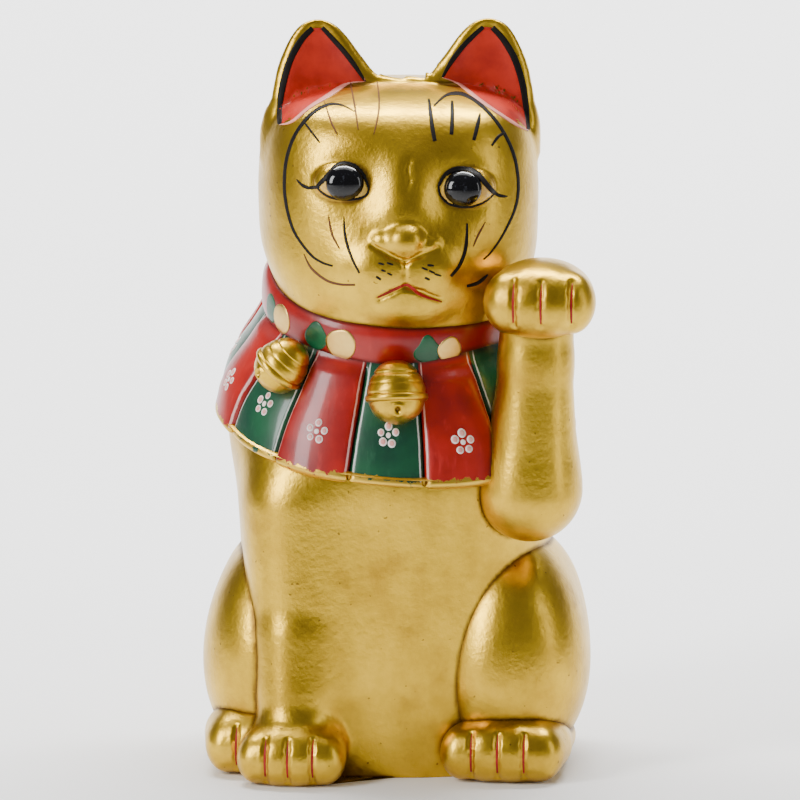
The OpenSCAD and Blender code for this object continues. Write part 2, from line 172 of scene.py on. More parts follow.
bm = bmesh.new()
bmesh.ops.create_grid(bm, x_segments=12, y_segments=64, size=1.6)
for v in bm.verts:
    rise = max(0.0, v.co.y - 0.35)
    v.co.z = 0.6 * rise**2 if rise < 0.8 else 0.384 + (rise - 0.8) * 0.96
paper = bpy.data.objects.new("paper", bpy.data.meshes.new("paper"))
for face in bm.faces:
    face.smooth = True
bm.to_mesh(paper.data)
bm.free()
paper.data.materials.append(paper_paint())
bpy.context.collection.objects.link(paper)

# ---- Torso and standing leg ----------------------------------------------------------------------
# One slip-cast hollow form in gilded ceramic: the chest, back and belly, and the cat's right foreleg
# swelling out of the chest into its paw. The seam between the two moulds is fettled away.
low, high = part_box("base_stopper")
torso_axis = Vector(((low.x + high.x) / 2, (low.y + high.y) / 2, 0))
neck_lean, neck_turn, neck_z = math.radians(17), math.radians(14), 189


def lean(x, y):
    """Rise of a leaning ring at (x, y): the neck and the hem are low in front."""
    return math.tan(neck_lean) * (y * math.cos(neck_turn) - x * math.sin(neck_turn))


def smooth_rows(rows, count=400):
    """Rows close together on a smooth curve through the given rows."""
    rows = np.array(rows, float)
    last = len(rows) - 1
    dense = []
    for t in np.linspace(0, last, count):
        i = min(int(t), last - 1)
        u = t - i
        start = (rows[i + 1] - rows[max(i - 1, 0)]) / 2
        end = (rows[min(i + 2, last)] - rows[i]) / 2
        dense.append((2*u**3 - 3*u**2 + 1) * rows[i] + (u**3 - 2*u**2 + u) * start
                     + (3*u**2 - 2*u**3) * rows[i + 1] + (u**3 - u**2) * end)
    return np.array(dense)


def soft_max(a, b, width):
    return np.maximum(a, b) + np.maximum(width - np.abs(a - b), 0)**2 / (4 * width)


class Clay:
    """A form modelled in clay, in millimetres about the torso's axis. Each lump has its own depth
    measure, joined to the rest with a fillet of width soft, or cut out of it where dig is true."""

    def __init__(self, place=(0, 0), turn=0.0):
        self.lumps = bmesh.new()
        self.steps = []
        self.place, self.turn = np.array([*place, 0.0]), turn

    def inside(self, p):
        """Points in the form's own turned frame."""
        c, s = math.cos(self.turn), math.sin(self.turn)
        q = p - self.place
        return np.stack([c * q[:, 0] + s * q[:, 1], c * q[:, 1] - s * q[:, 0], q[:, 2]], 1)

    def outside(self):
        return Matrix.Translation(self.place) @ Matrix.Rotation(self.turn, 4, "Z")

    def add(self, depth, soft=0.0, dig=False):
        self.steps.append((depth, soft, dig))
        return self

    def egg(self, centre, radii, soft=0.0, dig=False):
        """An ellipsoid."""
        c, r = np.array(centre, float), np.array(radii, float)

        def depth(p):
            q = p - c
            k = np.linalg.norm(q / r, axis=1)
            return k * (k - 1) / np.maximum(np.linalg.norm(q / r**2, axis=1), 1e-6)
        if not dig:
            bmesh.ops.create_icosphere(self.lumps, subdivisions=4, radius=1, matrix=(
                self.outside() @ Matrix.Translation(c) @ Matrix.Diagonal((*r, 1))))
        return self.add(depth, soft, dig)

    def bone(self, start, end, r0, r1, soft=0.0, dig=False):
        """A tapered rod with round ends."""
        a, b = np.array(start, float), np.array(end, float)
        way = b - a

        def depth(p):
            t = np.clip((p - a) @ way / (way @ way), 0, 1)
            return np.linalg.norm(p - a - t[:, None] * way, axis=1) - (r0 + (r1 - r0) * t)
        if not dig:
            for t in np.linspace(0, 1, max(2, int(np.linalg.norm(way) / (min(r0, r1) * 0.5)))):
                bmesh.ops.create_icosphere(self.lumps, subdivisions=3, radius=r0 + (r1 - r0) * t,
                                           matrix=self.outside() @ Matrix.Translation(a + way * t))
        return self.add(depth, soft, dig)

    def groove(self, points, radius, soft=1.6):
        """A line pressed in from the front with a round tool, through points (u, z)."""
        path = []
        for u, z in points:
            y = -110.0
            for _ in range(60):
                p = self.outside() @ Vector((u, y, z))
                y += 0.7 * float(self.depth(np.array([p]))[0])
            path.append((u, y - 0.3 * radius, z))
        for a, b in zip(path, path[1:]):
            self.bone(a, b, radius, radius, soft, dig=True)
        return self

    def shell(self, rings):
        """A rough closed skin through rings of points, for the lumps only."""
        loops = []
        for ring in rings:
            made = bmesh.ops.create_circle(self.lumps, segments=len(ring), radius=1)["verts"]
            for v, point in zip(made, ring):
                v.co = self.outside() @ Vector(point)
            loops.append((made, {e for v in made for e in v.link_edges}))
        for (_, a), (_, b) in zip(loops, loops[1:]):
            bmesh.ops.bridge_loops(self.lumps, edges=[*a, *b])
        for made, _ in (loops[0], loops[-1]):
            self.lumps.faces.new(made)

    def loft(self, stations, square=2.2, soft=0.0, lumps=True, cap=6.0):
        """A body through stations of [height, half width, depth in front, depth behind, share of lean]."""
        dense = smooth_rows(stations)
        c, s = math.cos(self.turn), math.sin(self.turn)

        def depth(p):
            rise = lean(c * p[:, 0] - s * p[:, 1], s * p[:, 0] + c * p[:, 1])
            level = p[:, 2]
            for _ in range(3):
                level = p[:, 2] - np.interp(level, dense[:, 0], dense[:, 4]) * rise
            wide, front, rear = (np.interp(level, dense[:, 0], dense[:, i]) for i in (1, 2, 3))
            deep = np.where(p[:, 1] < 0, front, rear)
            k = (np.abs(p[:, 0] / wide)**square + np.abs(p[:, 1] / deep)**square)**(1 / square)
            ends = np.maximum(level - dense[-1, 0], dense[0, 0] - level)
            return soft_max((k - 1) * np.minimum(wide, deep), ends, cap)
        if lumps:
            turns = np.linspace(0, 2 * math.pi, 65)[:-1]
            rings = []
            for z, wide, front, rear, share in dense[::8]:
                u = wide * np.sign(np.cos(turns)) * np.abs(np.cos(turns))**(2 / square)
                w = np.where(np.sin(turns) > 0, rear, front) * np.sign(np.sin(turns)) * np.abs(
                    np.sin(turns))**(2 / square)
                rings.append(np.stack([u, w, z + share * lean(c * u - s * w, s * u + c * w)], 1))
            self.shell(rings)
        return self.add(depth, soft)

    def depth(self, p):
        """Distance outside the clay's surface, less than 0 in the clay."""
        q = self.inside(p)
        total = self.steps[0][0](q)
        for measure, soft, dig in self.steps[1:]:
            d = measure(q)
            fillet = np.maximum(soft - np.abs(total + d if dig else total - d), 0)**2 / (4 * max(soft, 1e-9))
            total = np.maximum(total, -d) + fillet if dig else np.minimum(total, d) - fillet
        return total

    def press(self, co, rounds=5):
        """Moves points onto the clay's surface."""
        nudge = 0.05
        for _ in range(rounds):
            d = self.depth(co)
            slope = np.stack([(self.depth(co + nudge * axis) - self.depth(co - nudge * axis)) / (2 * nudge)
                              for axis in np.eye(3)], 1)
            move = (d / np.maximum((slope**2).sum(1), 0.25))[:, None] * slope
            length = np.linalg.norm(move, axis=1, keepdims=True)
            co = co - move * np.minimum(1, 1.0 / np.maximum(length, 1e-9))
        return co

    def cast(self, grain, fine=()):
        """The form as one even skin with a vertex every grain, split further in the fine places."""
        bmesh.ops.recalc_face_normals(self.lumps, faces=self.lumps.faces)
        rough = bpy.data.objects.new("rough", bpy.data.meshes.new("rough"))
        self.lumps.to_mesh(rough.data)
        self.lumps.free()
        bpy.context.collection.objects.link(rough)
        remesh = rough.modifiers.new("even_skin", "REMESH")
        remesh.mode, remesh.voxel_size = "VOXEL", grain
        skin = bmesh.new()
        skin.from_object(rough, bpy.context.evaluated_depsgraph_get())
        bpy.data.objects.remove(rough)
        for _ in range(4):
            bmesh.ops.smooth_vert(skin, verts=skin.verts, factor=0.5, use_axis_x=True, use_axis_y=True,
                                  use_axis_z=True)
        self.settle(skin)
        for centre, reach in fine:
            centre = self.outside() @ Vector(centre)
            near = [e for e in skin.edges if all(
                sum(((v.co[i] - centre[i]) / reach[i])**2 for i in range(3)) < 1 for v in e.verts)]
            bmesh.ops.subdivide_edges(skin, edges=near, cuts=1, use_grid_fill=True)
            self.settle(skin)
        bmesh.ops.triangulate(skin, faces=[f for f in skin.faces if len(f.verts) > 4])
        return skin

    def settle(self, skin):
        """Presses a skin onto the clay, evens it out a little and presses it again."""
        for relax in (True, False):
            co = self.press(np.array([v.co for v in skin.verts], float))
            for v, place in zip(skin.verts, co):
                v.co = place
            if relax:
                bmesh.ops.smooth_vert(skin, verts=skin.verts, factor=0.4, use_axis_x=True,
                                      use_axis_y=True, use_axis_z=True)


def stand(skin, floor=0.0):
    """Cuts a skin off level with the floor and closes it."""
    cut = bmesh.ops.bisect_plane(skin, geom=skin.verts[:] + skin.edges[:] + skin.faces[:],
                                 plane_co=(0, 0, floor), plane_no=(0, 0, -1), clear_outer=True)
    bmesh.ops.holes_fill(skin, edges=[e for e in cut["geom_cut"] if isinstance(e, bmesh.types.BMEdge)],
                         sides=0)


def piece(name, bm, paint, replaced=(), sharp=None):
    """Sets a finished mesh down in the frame as a piece that rides on the figure."""
    bmesh.ops.recalc_face_normals(bm, faces=bm.faces)
    bmesh.ops.scale(bm, vec=(0.001, 0.001, 0.001), verts=bm.verts)
    bmesh.ops.translate(bm, vec=torso_axis, verts=bm.verts)
    for face in bm.faces:
        face.smooth = True
    for edge in bm.edges:
        if sharp and len(edge.link_faces) == 2 and edge.calc_face_angle() > math.radians(sharp):
            edge.smooth = False
    made = bpy.data.objects.new(name, bpy.data.meshes.new(name))
    bm.to_mesh(made.data)
    bm.free()
    made.data.materials.append(paint)
    bpy.context.collection.objects.link(made)
    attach(made, "figure")
    if replaced:
        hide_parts(*replaced)
    return made


def gold_paint():
    p = Paint("gold_paint", Metallic=1.0, Coat_Roughness=0.25)
    broad, mottle, fine = p.noise(26, 4), p.noise(110, 5, 0.7), p.noise(420, 3, 0.6)
    tarnish = p.noise(48, 6, 0.65).step(0.55, 0.74)
    pits = p.noise(420, 1).step(0.75, 0.79)
    # Painted shade: the gold turns dark brown, and rougher, where the piece meets another and in hollows.
    crease_shade = (p.mask("crease") * (0.7 + 0.6 * mottle)).step(0.12, 0.95)
    colour = p.mix((0.74, 0.47, 0.032), (0.50, 0.30, 0.018), (broad * 0.6 + mottle * 0.4).step(0.3, 0.7))
    colour = p.mix(colour, (0.34, 0.18, 0.02), tarnish * 0.4)
    colour = p.mix(colour, (0.085, 0.032, 0.008), crease_shade * 0.85)
    colour = p.mix(colour, (0.12, 0.055, 0.012), pits * 0.7)
    p.set(Base_Color=colour, Roughness=0.25 + 0.16 * mottle + 0.1 * tarnish + 0.15 * crease_shade,
          Coat_Weight=0.08 - 0.05 * tarnish, Normal=p.bump(fine + mottle, 0.00016))
    return p.material


gold = gold_paint()

torso_stations = (
    (-12, 59, 49, 57, 0), (0, 60, 50, 58, 0), (30, 61, 53, 62, 0), (70, 61.5, 55, 61, 0),
    (106, 63.5, 57, 57, 0.3), (138, 67, 58, 53, 0.9), (159, 57.5, 52, 48, 1), (176, 47.5, 45.5, 44.5, 1),
    (189, 46, 44, 44, 1))
wall = 5


def toes(clay, x, y, z, spread, slits):
    """Four toes across the front of a paw, with a slit between each pair."""
    for k in (-1.5, -0.5, 0.5, 1.5):
        clay.egg((x + k * spread, y + 7.5 + 1.6 * abs(k), z - 0.5 * abs(k)), (spread * 0.72, 8.5, z * 0.84),
                 soft=6)
    for slit in slits:
        clay.groove([(x + slit, h) for h in (z - 9, z - 4, z + 1, z + 5, z + 8.5)], 0.8)


clay = Clay()
clay.loft(torso_stations)
clay.bone((-38, -40, 106), (-35.5, -46.5, 36), 15, 14, soft=24)
clay.bone((-35.8, -46.5, 54), (-35.5, -53, 18), 14.2, 14.5, soft=7)
clay.egg((-36, -57.5, 11.5), (20.2, 18, 13.8), soft=8)
toes(clay, -36, -76.5, 11, 9.6, (-9.6, -0.6, 9.2))
skin = clay.cast(1.7, [((-36, -66, 12), (26, 16, 20)), ((-36, -74, 12), (22, 11, 18))])
torso_form = BVHTree.FromBMesh(skin)
gilded = {"torso": clay}

# The inside of the casting follows the outside, one wall in, and is open at the foot.
hollow = Clay()
hollow.loft([(z, a - wall, f - wall, b - wall, share) for z, a, f, b, share in torso_stations])
inner = hollow.cast(4)
bmesh.ops.reverse_faces(inner, faces=inner.faces)
for mesh in (skin, inner):
    bmesh.ops.bisect_plane(mesh, geom=mesh.verts[:] + mesh.edges[:] + mesh.faces[:],
                           plane_co=(0, 0, 0.05), plane_no=(0, 0, -1), clear_outer=True)
lining = bpy.data.meshes.new("lining")
inner.to_mesh(lining)
inner.free()
skin.from_mesh(lining)
bpy.data.meshes.remove(lining)
bmesh.ops.bridge_loops(skin, edges=[e for e in skin.edges if e.is_boundary])
body = piece("torso", skin, gold, ["body_front", "body_rear", "foreleg_right"])

# The coin slot is cut through the upper back while the clay is soft.
slot_cut = bmesh.new()
bmesh.ops.create_cube(slot_cut, size=1, matrix=Matrix.Translation(torso_axis + Vector((0, 0.055, 0.124)))
                      @ Matrix.Diagonal((0.038, 0.04, 0.005, 1)))
bmesh.ops.bevel(slot_cut, geom=slot_cut.edges[:], offset=0.0012, offset_type="OFFSET", segments=3,
                profile=0.5, affect="EDGES", material=-1)
cutter = bpy.data.objects.new("slot_cutter", bpy.data.meshes.new("slot_cutter"))
slot_cut.to_mesh(cutter.data)
slot_cut.free()
bpy.context.collection.objects.link(cutter)
cut = body.modifiers.new("coin_slot", "BOOLEAN")
cut.operation, cut.object, cut.solver = "DIFFERENCE", cutter, "EXACT"
baked = bpy.data.meshes.new_from_object(body.evaluated_get(bpy.context.evaluated_depsgraph_get()))
body.modifiers.clear()
body.data = baked
bpy.data.objects.remove(cutter)

# ---- Haunches ------------------------------------------------------------------------------------
# The two folded hind legs are pressed in moulds of their own and luted to the torso's sides, which
# leaves a soft crease round each. They carry the same gold paint.
for side, middle, name in ((1, 1.0, "haunch_left"), (-1, 2.2, "haunch_right")):
    clay = Clay()
    clay.egg((middle + side * 47.5, -2, 55), (27.5, 46, 39))
    clay.egg((middle + side * 44.5, -9, 30), (27.5, 41, 30), soft=22)
    clay.egg((middle + side * 46, -26, 44), (26, 24, 40), soft=16)
    skin = clay.cast(1.8)
    stand(skin, 0.3)
    gilded[name + "_skin"] = clay
    piece(name + "_skin", skin, gold, [name])

# ---- Hind paws -----------------------------------------------------------------------------------
# Each hind paw is a flattened lump luted under its haunch, with the toes pressed in with a tool.
for side, front, tall, name in ((1, -63.5, 14.6, "hind_paw_left"), (-1, -58, 16.4, "hind_paw_right")):
    clay = Clay()
    clay.egg((side * 48, front + 21, tall - 2), (25.3, 19.5, tall))
    clay.egg((side * 49, front + 47, 11.5), (24.5, 26, 13), soft=14)
    toes(clay, side * 47 - 0.5, front, 12, 10.8, (-11.5, -1, 9.5))
    skin = clay.cast(1.6, [((side * 47.5, front + 8, 13), (27, 15, 19)),
                           ((side * 47.5, front + 2, 13), (23, 10, 16))])
    if side > 0:
        left_paw_form = BVHTree.FromBMesh(skin)
    else:
        right_paw_form = BVHTree.FromBMesh(skin)
    stand(skin, 0.02)
    gilded[name + "_skin"] = clay
    piece(name + "_skin", skin, gold, [name])

# ---- Raised arm and paw --------------------------------------------------------------------------
# The left arm is a separate casting that stands on the chest's side with its elbow bent, and the
# paw is folded over its wrist in a deep crease.
clay = Clay()
clay.bone((57, -42, 115.5), (59.2, -44, 168), 19.4, 14.4)
clay.bone((59.2, -44, 168), (59.8, -45, 190), 14.4, 15, soft=4)
clay.bone((55, -36, 118), (50, -14, 144), 19, 22, soft=10)
piece("raised_arm_skin", clay.cast(1.5), gold, ["raised_arm"])
gilded["raised_arm_skin"] = clay

clay = Clay()
clay.egg((61.8, -50, 195.8), (20.6, 22, 14.2))
clay.egg((61.8, -61, 193.6), (18.8, 12, 12), soft=10)
for k in (-1.5, -0.5, 0.5, 1.5):
    clay.egg((62 + k * 9.4, -65.5 + 2.2 * abs(k), 195.2 - 0.8 * abs(k)), (6.6, 8, 10.6), soft=5)
for slit in (-9.8, 1.2, 13):
    clay.groove([(62 + slit, h) for h in (186.5, 190, 195, 200, 204)], 0.8)
skin = clay.cast(1.3, [((62, -66, 195), (24, 16, 17))])
raised_paw_form = BVHTree.FromBMesh(skin)
piece("raised_paw_skin", skin, gold, ["raised_paw"])
gilded["raised_paw_skin"] = clay

# ---- Head ----------------------------------------------------------------------------------------
# A hollow casting with the ears, brow, nose and muzzle modelled on it, turned a little to the cat's left
# and luted to the neck. The eyeballs and the folds round the nose are tooled before it is fired.
head_stations = (
    (189.4, 46, 45, 43, 1), (198, 50.8, 47.5, 46.5, 1), (209, 54.5, 51, 51, 0.7), (222, 55.4, 52, 53, 0.35),
    (236, 55.4, 51, 53.5, 0.1), (252, 53.7, 47.5, 50.5, 0), (264, 48, 39.5, 44, 0),
    (271, 33, 24, 30, 0), (273.5, 12, 8, 10, 0))
ear_rows = smooth_rows((
    (246, 31, 18, 6, 14), (255, 32, 20.2, 6, 15), (261, 32.2, 20.4, 6, 14.5), (267, 31.6, 20.6, 5.6, 13.5),
    (273.3, 30.8, 20.3, 5, 12), (279.3, 31.5, 18.3, 4.6, 10), (285.4, 32.6, 15, 4, 8),
    (291.5, 33.3, 11.3, 3.2, 5.6), (295.5, 33.7, 7.9, 2.6, 4), (297.6, 33.8, 4.6, 2, 2.8),
    (298.6, 33.8, 1.6, 1.2, 1.4)), 120)
ear_shift, ear_y = 1.5, -6


def ear_depth(side, scoop=False):
    """An ear is an ellipse at each height. Its scoop is a shallower one pressed in from the front."""
    def depth(p):
        middle, wide, ahead, behind = (np.interp(p[:, 2], ear_rows[:, 0], ear_rows[:, i])
                                       for i in (1, 2, 3, 4))
        x = p[:, 0] - ear_shift - side * middle
        y = p[:, 1] - ear_y
        if scoop:
            wide = np.maximum(wide - 1.2, 0.4)
            y, deep = y + ahead + 2, np.maximum(0.9 * ahead + 1.6, 0.4)
        else:
            deep = np.where(y < 0, ahead, behind)
        k = np.sqrt((x / wide)**2 + (y / deep)**2)
        return soft_max((k - 1) * np.minimum(wide, deep), np.maximum(p[:, 2] - 298.8, 246 - p[:, 2]), 1.5)
    return depth


clay = Clay((1, -2), math.radians(8))
to_head = clay.outside()
clay.loft(head_stations, square=2.3)
turns = np.linspace(0, 2 * math.pi, 41)[:-1]
for side in (-1, 1):
    clay.shell([np.stack([ear_shift + side * middle + wide * np.cos(turns),
                          ear_y + np.where(np.sin(turns) < 0, ahead, behind) * np.sin(turns),
                          np.full(40, z)], 1) for z, middle, wide, ahead, behind in ear_rows[::4]])
    clay.add(ear_depth(side), soft=7)
    clay.add(ear_depth(side, scoop=True), soft=1.2, dig=True)
clay.loft(head_stations, square=2.3, soft=0.8, lumps=False)
clay.egg((0, -40.5, 205.5), (23, 13.6, 16.5), soft=15)
for side, eye_z in ((-1, 240), (1, 237.4)):
    clay.egg((side * 25, -61, eye_z + 1), (17, 12.5, 12.5), soft=10, dig=True)
    clay.egg((side * 24, -42.6, eye_z - 0.8), (11.8, 8.4, 8), soft=1.5)
clay.bone((1.2, -42.5, 243), (-0.4, -47, 229), 4, 5, soft=14)
for side in (-1, 1):
    clay.egg((side * 9 - 0.5, -50.6, 206), (9.4, 5.2, 7), soft=7)
    clay.egg((side * 9 + 0.2, -52.2, 216.2 - side), (4.4, 4.4, 3.6), soft=2.5)
clay.egg((-0.2, -54, 217.4), (7.8, 6.8, 6.6), soft=2.5)
clay.egg((1.5, -46, 191.5), (12, 6, 6), soft=8)
clay.groove([(-0.3, 209.4), (-0.5, 204.5), (-0.2, 199.8)], 0.6)
clay.groove([(1.8, 249), (0.8, 245), (1.6, 241), (0.4, 237)], 0.45, 2)
for side in (-1, 1):
    clay.groove([(side * 12.6 - 0.4, 214.8 - side * 0.6), (side * 6 - 0.3, 211.6), (-0.3, 209.2)], 0.6)
    clay.groove([(0, 199.2), (side * 6 + 0.6, 196.6), (side * 12 + 1.4, 193.6)], 0.7)
skin = clay.cast(1.35, [((0, -58, 208), (25, 22, 26))])
head_form = BVHTree.FromBMesh(skin)
gilded["head"] = clay
piece("head", skin, gold, ["head_front", "head_rear", "ear_left", "ear_right"])


def at_face(u, z, form=None, frame_to=None):
    """The point and normal of the face straight behind (u, z), seen from the front of the head."""
    frame_to = to_head if frame_to is None else frame_to
    ahead = frame_to.to_3x3() @ Vector((0, 1, 0))
    point, normal, _, _ = (form or head_form).ray_cast(frame_to @ Vector((u, -140, z)), ahead)
    return (point, normal) if point else (None, None)


def sheet(bm, across, along, place, lift, closed=False):
    """Lays a film of paint in a mesh: place(s, t), with s and t from 0 to 1, gives a point of the form
    and its normal. The film stands lift proud of the form and closes below its surface."""
    patch = bmesh.new()
    bmesh.ops.create_grid(patch, x_segments=across, y_segments=along, size=0.5)
    for v in patch.verts:
        point, normal = place(v.co.x + 0.5, v.co.y + 0.5)
        if point is None:
            patch.free()
            return
        v.co = point + normal * lift
    if closed:
        bmesh.ops.remove_doubles(patch, verts=patch.verts, dist=0.004)
    patch.normal_update()
    middle = patch.faces[:][len(patch.faces) // 2] if patch.faces else None
    outward = place(0.5, 0.5)[1]
    if middle and middle.normal.dot(outward) < 0:
        bmesh.ops.reverse_faces(patch, faces=patch.faces)
    bmesh.ops.solidify(patch, geom=patch.faces[:], thickness=lift + 0.35)
    bmesh.ops.recalc_face_normals(patch, faces=patch.faces)
    mesh = bpy.data.meshes.new("film")
    patch.to_mesh(mesh)
    patch.free()
    bm.from_mesh(mesh)
    bpy.data.meshes.remove(mesh)


def stroke(bm, points, width, at, lift=0.12, taper=(0.35, 0.35), steps=6):
    """A brush stroke through points, widest in its middle, with ends of the taper shares."""
    line = smooth_rows(points, max(8, steps * (len(points) - 1) + 1))
    way = np.gradient(line, axis=0)
    way /= np.linalg.norm(way, axis=1, keepdims=True)
    last = len(line) - 1

    def place(s, t):
        i = min(int(t * last + 0.5), last)
        share = i / last
        swell = min(1.0, taper[0] + (1 - taper[0]) * min(1, share / 0.3),
                    taper[1] + (1 - taper[1]) * min(1, (1 - share) / 0.35))
        off = (s - 0.5) * width * swell
        return at(line[i, 0] - way[i, 1] * off, line[i, 1] + way[i, 0] * off)
    sheet(bm, 4, last, place, lift)


def blot(bm, outline, centre, at, lift=0.1, rings=8, dome=0.0):
    """A patch of paint inside an outline, made of rings about its centre, bulging by dome."""
    ring = np.array(outline, float)
    count = len(ring)

    def place(s, t):
        edge = ring[int(s * count + 0.5) % count]
        u, z = np.array(centre) + (edge - centre) * t
        point, normal = at(u, z)
        if point is not None and dome:
            point = point + normal * (dome * math.sqrt(max(0.0, 1 - t * t)))
        return point, normal
    sheet(bm, count, rings, place, lift, closed=True)


def oval(centre, radii, count=32, wobble=0.0, seed=0):
    """An outline round a centre, uneven by wobble as a brush leaves it."""
    dice = np.random.default_rng(seed)
    lumps = dice.normal(0, 1, (3, 2))
    turns = np.linspace(0, 2 * math.pi, count + 1)[:-1]
    grow = 1 + wobble * sum(lumps[k, 0] * np.cos((k + 2) * turns) + lumps[k, 1] * np.sin((k + 2) * turns)
                            for k in range(3))
    return np.stack([centre[0] + radii[0] * grow * np.cos(turns),
                     centre[1] + radii[1] * grow * np.sin(turns)], 1)


def enamel_paint(name, colour, dark, rough=0.34, coat=0.25, shine=0.35):
    """Brushed-on paint: uneven in tone, with a gloss that varies."""
    p = Paint(name, Coat_Roughness=0.15, Specular_IOR_Level=shine)
    broad, fine = p.noise(90, 4), p.noise(700, 3)
    p.set(Base_Color=p.mix(colour, dark, broad.step(0.35, 0.75)), Roughness=rough + 0.12 * fine,
          Coat_Weight=coat * (1.2 - 0.6 * broad), Normal=p.bump(fine, 0.00006))
    return p.material


# ---- Ear linings ---------------------------------------------------------------------------------
# The scoop of each ear is painted red with a black band inside its rim, and a pink line along the
# brow below it is a painted highlight, a glint on the lining's lower edge.
lining_red = enamel_paint("lining_red", (0.48, 0.022, 0.008), (0.30, 0.010, 0.006), 0.4, 0.12, 0.25)
black = enamel_paint("brush_black", (0.006, 0.005, 0.005), (0.014, 0.011, 0.009), 0.5, 0.03, 0.12)
# Pale pink for the painted highlight along the lower edge of each lining.
pink = enamel_paint("painted_glint_pink", (0.75, 0.30, 0.24), (0.62, 0.18, 0.13))
ear_edges = (
    ([(-13.6, 274), (-17.5, 280), (-22, 286), (-27, 291.6), (-30.6, 295.4)],
     [(-34.4, 295.2), (-39, 290.5), (-43.3, 283), (-46, 274), (-47.6, 265), (-48, 258.6)],
     [(-43.5, 260.6), (-36, 266.3), (-26, 271), (-19, 273.4)]),
    ([(17, 275.4), (20.5, 281.5), (25, 287.4), (29.6, 292), (33.4, 295.2)],
     [(37, 295), (41.5, 290), (45.8, 282.5), (48.8, 273), (50.3, 263), (50.8, 255)],
     [(46.5, 257.8), (40, 262.4), (30.5, 268.6), (23, 273)]))
linings, bands, glints = bmesh.new(), bmesh.new(), bmesh.new()
for inner_edge, outer_edge, brow in ear_edges:
    outline = np.concatenate([smooth_rows(inner_edge, 20), smooth_rows(outer_edge, 24),
                              smooth_rows(brow, 16)])
    blot(linings, outline, (outline[:, 0].mean(), 274), at_face, rings=14)
    stroke(bands, inner_edge, 2.0, at_face, lift=0.2, taper=(0.4, 0.8))
    stroke(bands, outer_edge, 2.6, at_face, lift=0.2, taper=(0.8, 0.6))
    stroke(glints, [outer_edge[-1], *brow, inner_edge[0]], 0.9, at_face, lift=0.26, taper=(0.2, 0.2))
piece("ear_linings", linings, lining_red)
piece("ear_bands", bands, black)
piece("ear_glints", glints, pink)

# ---- Eyes ----------------------------------------------------------------------------------------
# Each eyeball is glazed: a straw-coloured ground, a black outline drawn out into a lash, and a
# large black pupil in thick gloss that stands up as a low dome.
straw = enamel_paint("straw_ground", (0.75, 0.46, 0.05), (0.40, 0.18, 0.02), 0.3, 0.3)


def pupil_paint():
    p = Paint("pupil_gloss", Roughness=0.1, Coat_Weight=0.35, Coat_Roughness=0.03, Specular_IOR_Level=0.25)
    speck = p.noise(500, 3).step(0.62, 0.7)
    p.set(Base_Color=p.mix((0.002, 0.002, 0.003), (0.02, 0.022, 0.028), speck),
          Normal=p.bump(p.noise(260, 3), 0.00005))
    return p.material


pupil_gloss = pupil_paint()
eye_lines, grounds = bmesh.new(), bmesh.new()
upper = {-1: [(-34.6, 237.6), (-31.4, 241.2), (-27, 245.2), (-23, 246.4), (-19.2, 245.2), (-16, 241.8),
              (-14.2, 237.2)],
         1: [(13.3, 238), (16, 242.2), (20, 244.2), (24.4, 244), (28.8, 242), (32.4, 238), (35.8, 234)]}
lower = {-1: [(-34.6, 237.6), (-32, 235.2), (-28.6, 233.6), (-23, 232.8), (-18, 233.2), (-15, 234.8),
              (-14.2, 237.2)],
         1: [(13.3, 238), (14, 234.4), (17.2, 231), (21.8, 229.6), (27, 229.6), (32, 231.3), (35.8, 234)]}
lash = {-1: [(-33.6, 238), (-36.8, 236.5), (-39.6, 237.1), (-42, 239.2)],
        1: [(34.2, 235.6), (37, 233.2), (39, 232.4), (41, 232.1)]}
for side, name, middle in ((-1, "eye_right", (-23.6, 239.6)), (1, "eye_left", (22.8, 236.9))):
    outline = np.concatenate([smooth_rows(upper[side], 28)[:-1], smooth_rows(lower[side], 24)[::-1][:-1]])
    blot(grounds, outline, middle, at_face, lift=0.1, rings=8)
    stroke(eye_lines, upper[side], 2.0, at_face, lift=0.5,
           taper=(0.5, 0.3) if side < 0 else (0.4, 0.7), steps=9)
    stroke(eye_lines, lower[side], 1.0, at_face, lift=0.3, taper=(0.5, 0.5), steps=9)
    stroke(eye_lines, lash[side], 1.3, at_face, lift=0.35, taper=(0.9, 0.25))
    bm = bmesh.new()
    blot(bm, oval(middle, (7.5, 7.1), 48), middle, at_face, lift=0.2, rings=12, dome=1.8)
    piece(name.replace("eye", "pupil"), bm, pupil_gloss, [name])
piece("eye_grounds", grounds, straw)
piece("eye_lines", eye_lines, black)

